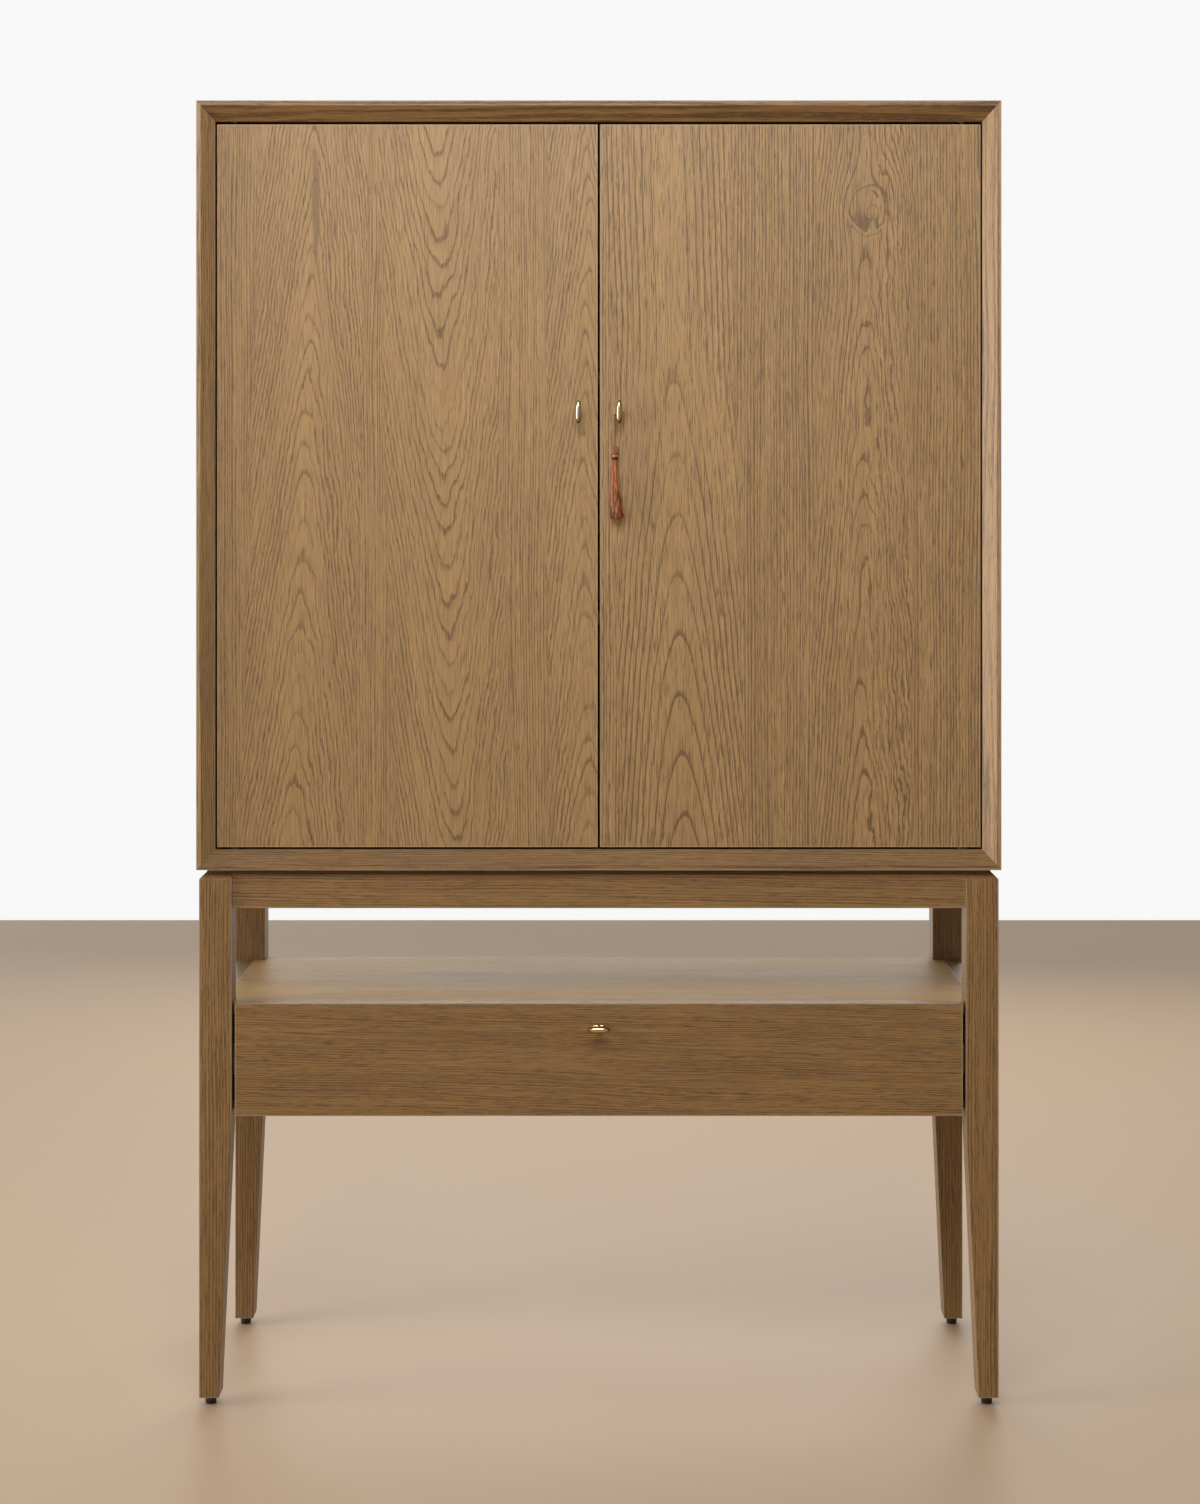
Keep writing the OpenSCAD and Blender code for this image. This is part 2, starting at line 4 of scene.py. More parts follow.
import bmesh
import bpy
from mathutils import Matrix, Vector


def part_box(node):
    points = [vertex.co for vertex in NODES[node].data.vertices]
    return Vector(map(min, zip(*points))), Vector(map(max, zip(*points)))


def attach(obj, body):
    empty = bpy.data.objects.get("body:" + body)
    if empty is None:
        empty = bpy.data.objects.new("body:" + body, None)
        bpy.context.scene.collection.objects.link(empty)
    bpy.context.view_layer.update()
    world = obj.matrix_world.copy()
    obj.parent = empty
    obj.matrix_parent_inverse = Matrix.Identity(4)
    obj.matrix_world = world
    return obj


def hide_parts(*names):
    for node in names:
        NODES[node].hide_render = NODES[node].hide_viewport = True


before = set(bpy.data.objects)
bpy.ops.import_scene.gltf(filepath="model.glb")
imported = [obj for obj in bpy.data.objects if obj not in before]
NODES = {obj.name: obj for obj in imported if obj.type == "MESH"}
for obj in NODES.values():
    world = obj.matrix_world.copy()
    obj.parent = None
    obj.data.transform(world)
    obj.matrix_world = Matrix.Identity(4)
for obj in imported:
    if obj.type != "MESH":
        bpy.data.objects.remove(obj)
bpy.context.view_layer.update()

SCENE = bpy.context.scene
MM = 0.001


# ---------------------------------------------------------------- camera

EYE = (0, -4.316, 1.353)
LENS = 64.43
SHIFT = (0.0008, -0.1544)


def make_camera():
    """Level and square to the front; the shift brings the feet into view."""
    data = bpy.data.cameras.new("camera")
    data.lens = LENS
    data.sensor_width = 36
    data.shift_x, data.shift_y = SHIFT
    camera = bpy.data.objects.new("camera", data)
    camera.location = EYE
    camera.rotation_euler = (math.pi / 2, 0, 0)
    SCENE.collection.objects.link(camera)
    SCENE.camera = camera


# ---------------------------------------------------------------- shader wires

class Wire:
    """A shader socket that can be used in sums and products."""

    def __init__(self, shade, socket):
        self.shade = shade
        self.socket = socket

    def __add__(self, other):
        return self.shade.math("ADD", self, other)

    __radd__ = __add__

    def __mul__(self, other):
        return self.shade.math("MULTIPLY", self, other)

    __rmul__ = __mul__

    def __sub__(self, other):
        return self.shade.math("SUBTRACT", self, other)

    def __rsub__(self, other):
        return self.shade.math("SUBTRACT", other, self)

    def __truediv__(self, other):
        return self.shade.math("DIVIDE", self, other)

    def __neg__(self):
        return self * -1.0

    def __abs__(self):
        return self.shade.math("ABSOLUTE", self)


class Shade:
    """One material and short calls that add nodes to it."""

    def __init__(self, name):
        self.material = bpy.data.materials.new(name)
        self.material.use_nodes = True
        self.tree = self.material.node_tree
        self.tree.nodes.clear()

    def put(self, socket, value):
        if isinstance(value, Wire):
            self.tree.links.new(value.socket, socket)
        else:
            socket.default_value = value

    def node(self, kind, sockets=None, **settings):
        node = self.tree.nodes.new(kind)
        for key, value in settings.items():
            setattr(node, key, value)
        for key, value in (sockets or {}).items():
            self.put(node.inputs[key], value)
        return node

    def out(self, node, key=0):
        return Wire(self, node.outputs[key])

    def math(self, operation, *values, clamp=False):
        node = self.node("ShaderNodeMath", operation=operation, use_clamp=clamp)
        for socket, value in zip(node.inputs, values):
            self.put(socket, value)
        return self.out(node)

    def point(self):
        """The piece's own coordinates: the row frame at rest, or on a knob its own foot."""
        coords = self.node("ShaderNodeTexCoord")
        parts = self.node("ShaderNodeSeparateXYZ", {"Vector": self.out(coords, "Object")})
        return [self.out(parts, key) for key in "XYZ"]

    def vector(self, x, y, z):
        return self.out(self.node("ShaderNodeCombineXYZ", {"X": x, "Y": y, "Z": z}))

    def noise(self, x, y, z, detail=2.0, rough=0.5):
        node = self.node(
            "ShaderNodeTexNoise",
            {"Vector": self.vector(x, y, z), "Scale": 1.0, "Detail": detail, "Roughness": rough},
        )
        return self.out(node, "Fac")

    def step(self, value, low, high, bottom=0.0, top=1.0):
        """value eased from bottom at low to top at high."""
        node = self.node(
            "ShaderNodeMapRange",
            {"Value": value, "From Min": low, "From Max": high, "To Min": bottom, "To Max": top},
            interpolation_type="SMOOTHSTEP",
        )
        return self.out(node)

    def curve(self, value, *stops):
        """value looked up in a ramp of (place, level) stops."""
        node = self.node("ShaderNodeValToRGB", {"Fac": value})
        ramp = node.color_ramp
        while len(ramp.elements) < len(stops):
            ramp.elements.new(0.5)
        for element, (place, level) in zip(ramp.elements, stops):
            element.position = place
            element.color = (level, level, level, 1)
        return self.out(node, "Color")

    def mix(self, a, b, amount):
        node = self.node("ShaderNodeMix", data_type="FLOAT")
        self.put(node.inputs[0], amount)
        self.put(node.inputs[2], a)
        self.put(node.inputs[3], b)
        return self.out(node, 0)

    def blend(self, a, b, amount, how="MIX"):
        """Colour a covered by colour b."""
        node = self.node("ShaderNodeMix", data_type="RGBA", blend_type=how)
        self.put(node.inputs[0], amount)
        self.put(node.inputs[6], a)
        self.put(node.inputs[7], b)
        return self.out(node, 2)

    def grey(self, level):
        return self.out(
            self.node("ShaderNodeCombineColor", {"Red": level, "Green": level, "Blue": level})
        )

    def bump(self, height, strength, distance):
        node = self.node(
            "ShaderNodeBump", {"Height": height, "Strength": strength, "Distance": distance}
        )
        return self.out(node, "Normal")

    def finish(self, **sockets):
        """Ends the material in a Principled shader; sockets' names have _ for spaces."""
        shader = self.node("ShaderNodeBsdfPrincipled")
        for key, value in sockets.items():
            self.put(shader.inputs[key.replace("_", " ")], value)
        output = self.node("ShaderNodeOutputMaterial")
        self.tree.links.new(shader.outputs[0], output.inputs["Surface"])
        return self.material


def rgb(r, g, b):
    return (r, g, b, 1.0)


# ---------------------------------------------------------------- oak

# The base colour of each group of boards.
DOOR_STAIN = (0.385, 0.238, 0.098)
CASE_STAIN = (0.400, 0.243, 0.105)
# Painted shade: the top and bottom rails get a darker stain than the case, standing in for the
# shade on their bevels.
TRIM_STAIN_WITH_SHADE = (0.285, 0.160, 0.060)
STAND_STAIN = (0.305, 0.171, 0.058)
# Painted light: the open shelf's stain is paler than the other boards' to brighten a shelf that
# the case above keeps in shade.
SHELF_STAIN_WITH_LIGHT = (0.490, 0.312, 0.126)
WORN_OAK = (0.47, 0.36, 0.235)
WORN_EDGE = 3 * MM
# A pore's colour is the stain, darkened and turned a little towards red.
PORE_SHADE = 0.36
PORE_TINT = (1.06, 0.96, 0.90)


def ellipse(shade, across, along, half_wide, half_tall):
    """0 at the middle of an ellipse, 1 on its rim, growing as the square of the distance."""
    wide = shade.math("POWER", across / half_wide, 2.0)
    tall = shade.math("POWER", along / half_tall, 2.0)
    return wide + tall


def leaf(shade, u, v, w, centre, lean=0.0, depth=0.03, swell=0.0, taper=0.12, thin=0.55,
         spacing=0.0055, wobble=1.0, calm=1.0, half=0.07, stop=None, knot=None, seed=0.0):
    """One arched figure, as a board shows where it is cut beside the tree's heart.

    Returns the ring count, how steeply it grows, and the distance past the figure's edge.
    u runs across the board, v along it and w into it. centre and half place the figure and
    lean tilts it. depth is how far the heart lies behind, and swell how fast that grows
    with height. taper is the trunk's: arches point up where it is above zero. Lines bend
    less with a low calm or wobble, and stop is the height above which they run straight.
    thin is the least steepness that lines are drawn with, and knot is a knot's centre,
    half width and half height.
    """
    slow = shade.noise(v * 3.0 + seed, seed * 2.0, 0.0) - 0.5
    middle = centre + v * lean + slow * 0.02
    reach = abs(u - middle) - half
    drift = shade.noise(u * 20.0 + seed, v * 6.0, w * 20.0, detail=1.0) - 0.5
    jitter = shade.noise(u * 120.0, v * 38.0 + seed, w * 120.0, detail=2.0) - 0.5
    ripple = shade.noise(u * 60.0 + seed, v * 16.0, w * 60.0, detail=2.0) - 0.5
    across = u - middle + drift * (0.014 * calm) + jitter * (0.005 * calm)
    if knot:
        x, z, wide, tall = knot
        bulge = shade.math("EXPONENT", -ellipse(shade, u - x, v - z, wide * 1.5, tall * 1.75))
        edge = ellipse(shade, u - x + ripple * 0.012, v - z, wide, tall)
        inner = u - x - wide * 0.28 + ripple * 0.006
        core = ellipse(shade, inner, v - z, wide * 0.34, tall * 0.30)
        across = across * (1.0 - bulge * 0.8)
    heart = v * swell + depth + w
    distance = shade.math("SQRT", across * across + heart * heart)
    steep = shade.math("MAXIMUM", abs(across) / distance, thin)
    rise = v if stop is None else shade.math("SMOOTH_MIN", v, stop, 0.15)
    rings = distance + (rise + ripple * (0.045 * calm)) * taper
    if wobble:
        rings = rings + drift * (0.022 * wobble) + jitter * (0.003 * wobble)
    if knot:
        eye = shade.step(edge, 0.70, 1.45, 1.5, 0.0) + shade.step(core, 0.2, 1.4, 1.4, 0.0)
        rings = rings + eye * spacing
        steep = shade.math("MAXIMUM", steep, bulge * 1.2)
    return rings / spacing, steep, reach


def ring_field(shade, u, v, w, leaves, spacing, seed, slant=0.0):
    """Ring count and its steepness all over a board: straight grain with figures laid in."""
    wander = shade.noise(u * 9.0 + seed, v * 2.2, w * 9.0, detail=1.0) - 0.5
    bunch = shade.noise(u * 90.0, v * 0.9 + seed, w * 90.0, detail=2.0) - 0.5
    count = (u + w * 0.6 + v * slant + wander * 0.014 + bunch * 0.009) / spacing
    steep = 1.0
    edge = shade.noise(u * 260.0, v * 5.0 + seed, w * 260.0, detail=1.0) - 0.5
    for number, one in enumerate(leaves):
        rings, slope, reach = leaf(shade, u, v, w, seed=seed + 3.7 * number, **one)
        inside = shade.step(reach + edge * 0.03, -0.002, 0.002, 1.0, 0.0)
        count = shade.mix(count, rings, inside)
        steep = shade.mix(steep, slope, inside)
    return count, steep


def edge_wear(shade, point, node):
    """1 along the board's edges, 0 past a ragged line inside them."""
    low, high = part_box(node)
    gaps = [
        (high[i] - low[i]) / 2 - abs(point[i] - (high[i] + low[i]) / 2) for i in range(3)
    ]
    smaller = shade.math("MINIMUM", gaps[0], gaps[1])
    larger = shade.math("MAXIMUM", gaps[0], gaps[1])
    middle = shade.math("MAXIMUM", smaller, shade.math("MINIMUM", larger, gaps[2]))
    ragged = shade.noise(*[p * 150.0 for p in point], detail=3.0) - 0.5
    return shade.step(middle + ragged * WORN_EDGE, 0.0, WORN_EDGE, 1.0, 0.0)


def oak(node, axes, stain, leaves=(), tone=1.0, spacing=0.0045, line=0.30, contrast=1.5,
        slant=0.0, coat=0.12, lens=None, seed=0.0):
    """Stained oak for one board.

    axes are the board's grain, wide and thin directions, such as "zxy". tone lightens the
    stain, spacing is the distance between rings and line the dark share of each. contrast
    is the strength of the pores, slant the grain's slope, coat the lacquer, with none at 0,
    and lens a dark streak's centre, half width and half length.
    """
    shade = Shade(node + "_oak")
    point = shade.point()
    low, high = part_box(node)
    middle = (low + high) / 2
    along, wide, thin = ["xyz".index(axis) for axis in axes]
    v = point[along] - middle[along]
    u = point[wide]
    w = point[thin] - middle[thin]
    count, steep = ring_field(shade, u, v, w, leaves, spacing, seed, slant)

    # Each ring starts with a dark band of pores, stronger on some rings than on others.
    weak = shade.noise(count * 0.45, v * 2.5 + seed, seed, detail=1.0)
    band = shade.curve(
        shade.math("DIVIDE", shade.math("FRACT", count), steep, clamp=True),
        (0.0, 0.0), (0.4 * line, 1.0), (line, 0.85), (1.8 * line, 0.12), (1.0, 0.0),
    )
    band = band * shade.step(weak, 0.30, 0.62, 0.22, 1.0)

    # Short dashes break the bands into single pores, and finer ones fall between them.
    shuffle = shade.noise(u * 380.0, seed, w * 380.0, detail=1.0) * 14.0
    dash = shade.noise(u * 1300.0, v * 80.0 + shuffle, w * 1300.0, detail=1.0)
    dash = shade.step(dash, 0.42, 0.60)
    thin_dash = shade.noise(u * 640.0 + 7.0, v * 38.0 + shuffle, w * 640.0, detail=2.0)
    thin_dash = shade.step(thin_dash, 0.51, 0.65)
    pores = band * (dash * 0.68 + 0.32)
    dark = shade.math(
        "ADD", pores * (0.95 * contrast), thin_dash * (0.50 * contrast), clamp=True
    )

    if lens:
        bend = shade.noise(v * 9.0 + seed, 0.0, 0.0) - 0.5
        spot = ellipse(shade, u - lens[0] + bend * 0.016, v - lens[1], lens[2], lens[3])
        dark = shade.math("MAXIMUM", dark, shade.step(spot, 0.3, 1.2, 0.62, 0.0))

    streak = shade.noise(u * 420.0, v * 11.0 + seed, w * 420.0, detail=3.0, rough=0.65)
    broad = shade.noise(u * 16.0 + seed, v * 2.4, w * 16.0, detail=2.0)
    level = (streak - 0.5) * 0.60 + (broad - 0.5) * 0.30 + tone
    base = shade.blend(rgb(*stain), shade.grey(level), 1.0, "MULTIPLY")
    pore = [c * tone * PORE_SHADE * tint for c, tint in zip(stain, PORE_TINT)]
    colour = shade.blend(base, rgb(*pore), dark)
    wear = edge_wear(shade, point, node)
    colour = shade.blend(colour, rgb(*WORN_OAK), wear * 0.42)

    rough = dash * 0.10 + (broad - 0.5) * 0.12 + 0.46
    relief = shade.mix(1.0, 0.0, shade.math("ADD", pores, thin_dash * 0.5, clamp=True))
    relief = relief + streak * 0.15
    sockets = dict(
        Base_Color=colour, Roughness=rough, Normal=shade.bump(relief, 0.28, 0.0004)
    )
    if coat:
        sockets.update(Coat_Weight=coat, Coat_Roughness=0.34, Coat_IOR=1.45)
    else:
        sockets.update(Specular_IOR_Level=0.06)
    return shade.finish(**sockets)


# ---------------------------------------------------------------- other finishes

def birch(node, axes, seed=0.0):
    """Pale lacquered birch for one drawer board."""
    shade = Shade(node + "_birch")
    point = shade.point()
    along, wide, thin = ["xyz".index(axis) for axis in axes]
    v, u, w = point[along], point[wide], point[thin]
    streak = shade.noise(u * 240.0, v * 9.0 + seed, w * 240.0, detail=3.0)
    cloud = shade.noise(u * 18.0 + seed, v * 5.0, w * 18.0, detail=2.0)
    fleck = shade.step(shade.noise(u * 700.0, v * 90.0, w * 700.0, detail=1.0), 0.55, 0.72)
    level = (streak - 0.5) * 0.28 + (cloud - 0.5) * 0.22 + 1.0
    base = shade.blend(rgb(0.60, 0.445, 0.285), shade.grey(level), 1.0, "MULTIPLY")
    colour = shade.blend(base, rgb(0.40, 0.26, 0.14), fleck * 0.35)
    colour = shade.blend(colour, rgb(0.70, 0.56, 0.40), edge_wear(shade, point, node) * 0.4)
    return shade.finish(
        Base_Color=colour,
        Roughness=(cloud - 0.5) * 0.15 + 0.46,
        Normal=shade.bump(streak, 0.15, 0.0003),
        Coat_Weight=0.15,
        Coat_Roughness=0.3,
    )


def brass(name, oval=None):
    """Polished brass with patches of tarnish; oval gives a knob's half width and half height, and
    the rim of that oval is painted dark as a painted reflection.
    """
    shade = Shade(name)
    x, y, z = shade.point()
    cloud = shade.noise(x * 160.0, y * 160.0, z * 160.0, detail=3.0)
    scratch = shade.noise(x * 2200.0, y * 2200.0, z * 260.0, detail=2.0)
    tarnish_and_painted_rim = shade.step(cloud, 0.52, 0.78) * 0.45
    # Painted reflection: the rim of the knob's front outline is darkened to stand in for the dark
    # surroundings that its curved flanks reflect.
    if oval:
        across, along = x / oval[0], z / oval[1]
        rim = shade.math("SQRT", across * across + along * along)
        tarnish_and_painted_rim = shade.math("MAXIMUM", tarnish_and_painted_rim, shade.step(rim + cloud * 0.1, 0.76, 0.96))
    colour = shade.blend(rgb(0.76, 0.57, 0.33), rgb(0.17, 0.09, 0.04), tarnish_and_painted_rim)
    return shade.finish(
        Base_Color=colour,
        Metallic=1.0,
        Roughness=tarnish_and_painted_rim * 0.14 + (scratch - 0.5) * 0.08 + 0.17,
        Normal=shade.bump(scratch, 0.05, 0.0001),
    )


def dark_bronze():
    """The door pivots and their bushes."""
    shade = Shade("dark_bronze")
    x, y, z = shade.point()
    cloud = shade.noise(x * 200.0, y * 200.0, z * 200.0, detail=3.0)
    rubbed = shade.step(cloud, 0.4, 0.7)
    colour = shade.blend(rgb(0.060, 0.042, 0.028), rgb(0.14, 0.095, 0.055), rubbed)
    return shade.finish(
        Base_Color=colour,
        Metallic=1.0,
        Roughness=(cloud - 0.5) * 0.2 + 0.42,
        Normal=shade.bump(cloud, 0.1, 0.0001),
    )


def steel():
    """Zinc-plated screws, pins and runners."""
    shade = Shade("zinc_steel")
    x, y, z = shade.point()
    cloud = shade.noise(x * 90.0, y * 90.0, z * 90.0, detail=3.0)
    brush = shade.noise(x * 1500.0, y * 60.0, z * 1500.0, detail=2.0)
    dull = shade.step(cloud, 0.4, 0.75)
    colour = shade.blend(rgb(0.58, 0.58, 0.57), rgb(0.48, 0.49, 0.50), dull)
    return shade.finish(
        Base_Color=colour,
        Metallic=1.0,
        Roughness=(brush - 0.5) * 0.2 + 0.33,
        Normal=shade.bump(brush, 0.12, 0.0001),
    )


def plastic():
    """Black feet and catches."""
    shade = Shade("black_plastic")
    x, y, z = shade.point()
    grain = shade.noise(x * 900.0, y * 900.0, z * 900.0, detail=2.0)
    scuff = shade.step(shade.noise(x * 70.0, y * 70.0, z * 140.0, detail=4.0), 0.55, 0.75)
    colour = shade.blend(rgb(0.016, 0.016, 0.017), rgb(0.07, 0.066, 0.06), scuff * 0.6)
    return shade.finish(
        Base_Color=colour,
        Roughness=scuff * 0.2 + (grain - 0.5) * 0.1 + 0.42,
        Normal=shade.bump(grain, 0.25, 0.0002),
    )


def yarn(name, light, dark, twist=0.0):
    """Silky thread: streaks run down it, and twist marks cross it on a single strand."""
    shade = Shade(name)
    x, y, z = shade.point()
    streak = shade.noise(x * 850.0, y * 850.0, z * 20.0, detail=2.0)
    cloud = shade.noise(x * 150.0, y * 150.0, z * 30.0, detail=2.0)
    level = shade.step(streak * 0.9 + cloud * 0.1, 0.42, 0.60)
    height = streak
    if twist:
        turn = shade.math("SINE", (x + y) * (0.6 * twist) + z * twist)
        height = height + turn * 0.7
        level = shade.math("ADD", level, turn * 0.2, clamp=True)
    return shade.finish(
        Base_Color=shade.blend(rgb(*dark), rgb(*light), level),
        Roughness=(streak - 0.5) * 0.2 + 0.48,
        Normal=shade.bump(height, 0.4, 0.0002),
        Sheen_Weight=0.12,
        Sheen_Roughness=0.4,
    )


# ---------------------------------------------------------------- mesh helpers

def new_object(name, bm, material, smooth=True):
    """A piece made of what has been built in bm."""
    mesh = bpy.data.meshes.new(name)
    bm.normal_update()
    bm.to_mesh(mesh)
    bm.free()
    for polygon in mesh.polygons:
        polygon.use_smooth = smooth
    mesh.materials.append(material)
    piece = bpy.data.objects.new(name, mesh)
    SCENE.collection.objects.link(piece)
    return piece


def skin(bm, rings, closed=False):
    """Faces between rings of points; a row that isn't closed gets a fan at each end."""
    loops = [[bm.verts.new(point) for point in ring] for ring in rings]
    pairs = list(zip(loops, loops[1:]))
    if closed:
        pairs.append((loops[-1], loops[0]))
    for a, b in pairs:
        for i in range(len(a)):
            j = (i + 1) % len(a)
            bm.faces.new((a[i], a[j], b[j], b[i]))
    if closed:
        return
    for loop, turn in ((loops[0], -1), (loops[-1], 1)):
        middle = bm.verts.new(sum((vert.co for vert in loop), Vector()) / len(loop))
        for i in range(len(loop)):
            j = (i + 1) % len(loop)
            bm.faces.new((loop[i], loop[j], middle)[::turn])


def lathe(bm, profile, place, count=48, shape=None):
    """A turned form.

    profile is (radius, height) pairs, place maps x, y, z into the frame, and shape gives
    the radius's factor at an angle.
    """
    rings = []
    for radius, height in profile:
        ring = []
        for i in range(count):
            angle = 2 * math.pi * i / count
            out = radius * (shape(angle) if shape else 1.0)
            ring.append(place(out * math.cos(angle), out * math.sin(angle), height))
        rings.append(ring)
    skin(bm, rings)


def tube(bm, path, radius, sides=6, taper=None):
    """A round strand along path; taper is the radius's factor at each point."""
    corners = [2 * math.pi * k / sides for k in range(sides)]
    rings = []
    for i, point in enumerate(path):
        ahead = path[min(i + 1, len(path) - 1)] - path[max(i - 1, 0)]
        turn = ahead.normalized().to_track_quat("Z", "Y").to_matrix()
        size = radius * (taper[i] if taper else 1.0)
        rings.append([
            point + turn @ Vector((size * math.cos(a), size * math.sin(a), 0)) for a in corners
        ])
    skin(bm, rings)


# ---------------------------------------------------------------- tassel

# The ring and the thread's line, and the height where each part of the tassel begins.
RING_X = 0.031
RING_Y = -0.213
RING_Z = 1.5143
RING_RADIUS = 0.0068
RING_WIRE = 0.8 * MM
THREAD_X = 0.0244
THREAD_THICK = 1.5 * MM
THREAD_TOP = 1.51266
HEAD_TOP = 1.46566
HEAD_BOTTOM = 1.45166
BAND_BOTTOM = 1.44366
SKIRT_BOTTOM = 1.35466
WINDING = 0.6 * MM
STRANDS = 240


def make_thread(material):
    """The thread that the tassel hangs from, straight down under its weight."""
    data = bpy.data.curves.new("tassel_cord", "CURVE")
    data.dimensions = "3D"
    data.bevel_depth = THREAD_THICK / 2
    data.bevel_resolution = 4
    spline = data.splines.new("POLY")
    steps = 20
    spline.points.add(steps)
    for i in range(steps + 1):
        z = THREAD_TOP + (HEAD_TOP - THREAD_TOP) * i / steps
        spline.points[i].co = (THREAD_X, RING_Y, z, 1)
    data.materials.append(material)
    piece = bpy.data.objects.new("tassel_cord", data)
    SCENE.collection.objects.link(piece)
    return piece


def at_thread(x, y, z):
    """A point given from the thread's line."""
    return Vector((THREAD_X + x, RING_Y + y, z))


def make_head(material):
    """Threads gathered over the cord's knot, drawn in at a narrow collar."""
    bm = bmesh.new()
    tall = HEAD_TOP - HEAD_BOTTOM
    profile = [
        (0.3, 1.0), (1.6, 0.985), (3.0, 0.955), (4.3, 0.90), (5.0, 0.81), (5.3, 0.70),
        (5.4, 0.55), (5.35, 0.40), (5.2, 0.25), (4.9, 0.14), (4.3, 0.05), (3.6, 0.0),
    ]
    profile = [(r * MM, HEAD_BOTTOM + h * tall) for r, h in profile]

    def ribs(angle):
        return 1.0 + 0.035 * math.sin(26 * angle + 3 * math.sin(3 * angle))

    lathe(bm, profile[::-1], at_thread, 208, ribs)
    piece = new_object("tassel_knot_head", bm, material)
    smooth_subdivision(piece, 1)
    return piece


def make_collar(material):
    """Bright windings where the head is tied off."""
    bm = bmesh.new()
    path = []
    turns = 4
    radius = 3.5 * MM
    tall = 2.9 * MM
    for i in range(turns * 30 + 1):
        angle = 2 * math.pi * i / 30
        z = HEAD_BOTTOM - tall + tall * i / (turns * 30)
        path.append(at_thread(radius * math.cos(angle), radius * math.sin(angle), z))
    tube(bm, path, WINDING, 8)
    return new_object("tassel_collar", bm, material)


def make_band(material):
    """Dark windings round the top of the skirt, with a plain core inside."""
    bm = bmesh.new()
    path = []
    turns = 5
    for i in range(turns * 36 + 1):
        angle = 2 * math.pi * i / 36
        z = BAND_BOTTOM + 0.3 * MM + 3.7 * MM * i / (turns * 36)
        radius = 4.45 * MM + 0.12 * MM * math.sin(3.3 * angle)
        path.append(at_thread(radius * math.cos(angle), radius * math.sin(angle), z))
    tube(bm, path, WINDING, 8)
    core = [
        (3.8 * MM, BAND_BOTTOM - 0.5 * MM), (4.2 * MM, BAND_BOTTOM + 2 * MM),
        (3.2 * MM, BAND_BOTTOM + 4.4 * MM), (3.0 * MM, HEAD_BOTTOM + 0.5 * MM),
    ]
    lathe(bm, core, at_thread, 32)
    return new_object("tassel_binding", bm, material)


def make_skirt(material):
    """Strands that part a little, drift to the right and end unevenly."""
    bm = bmesh.new()
    chance = random.Random(11)
    steps = 14
    for _ in range(STRANDS):
        share = math.sqrt(chance.random())
        angle = chance.uniform(0, 2 * math.pi)
        top = Vector((math.cos(angle), math.sin(angle))) * (4.2 * MM * share)
        flare = 10.4 * MM * share * chance.uniform(0.82, 1.1)
        bottom = Vector((math.cos(angle), math.sin(angle))) * flare + Vector((3.6 * MM, 0))
        bend = Vector((chance.uniform(-1, 1), chance.uniform(-1, 1))) * 1.2 * MM
        wave = chance.uniform(0, 6.28)
        length = (BAND_BOTTOM - SKIRT_BOTTOM) * chance.uniform(0.93, 1.03)
        path = []
        for i in range(steps + 1):
            t = i / steps
            ease = t ** 1.5
            side = top.lerp(bottom, ease) + bend * math.sin(math.pi * t + 0.3 * wave) * t
            side.x += 0.5 * MM * math.sin(wave + 10 * t) * t
            path.append(at_thread(side.x, side.y, BAND_BOTTOM + 0.8 * MM - length * t))
        thick = [1.0] * steps + [0.45]
        tube(bm, path, chance.uniform(0.45, 0.75) * MM, 5, thick)
    return new_object("tassel_strands", bm, material)


def make_ring(material):
    """The little ring that hangs on the right knob's neck."""
    bm = bmesh.new()
    rings = []
    for i in range(64):
        angle = 2 * math.pi * i / 64
        out = Vector((math.cos(angle), 0, math.sin(angle)))
        middle = Vector((RING_X, RING_Y, RING_Z)) + out * RING_RADIUS
        rings.append([
            middle + out * (RING_WIRE * math.cos(a)) + Vector((0, RING_WIRE * math.sin(a), 0))
            for a in [2 * math.pi * k / 16 for k in range(16)]
        ])
    skin(bm, rings, closed=True)
    return new_object("tassel_hanger", bm, material)


def make_hitch(material):
    """The thread's turns round the ring."""
    bm = bmesh.new()
    side = THREAD_X - RING_X
    angle = math.atan2(THREAD_TOP - RING_Z, side)
    out = Vector((math.cos(angle), 0, math.sin(angle)))
    run = Vector((-math.sin(angle), 0, math.cos(angle)))
    middle = Vector((RING_X, RING_Y, RING_Z)) + out * RING_RADIUS
    path = []
    turns = 2.5
    steps = 70
    wide = 2.4 * MM
    radius = 1.45 * MM
    for i in range(steps + 1):
        t = i / steps
        a = 2 * math.pi * turns * t
        path.append(
            middle + run * ((t - 0.5) * wide)
            + out * (radius * math.cos(a)) + Vector((0, radius * math.sin(a), 0))
        )
    tube(bm, path, WINDING, 8)
    return new_object("tassel_hitch", bm, material)


def smooth_subdivision(piece, levels):
    """Rounds off a piece's facets."""
    modifier = piece.modifiers.new("smooth", "SUBSURF")
    modifier.levels = levels
    modifier.render_levels = levels


# ---------------------------------------------------------------- knobs

KNOB_HALF_WIDE = 4.4 * MM
KNOB_HALF_LONG = 17.5 * MM
KNOB_REACH = 27.6 * MM
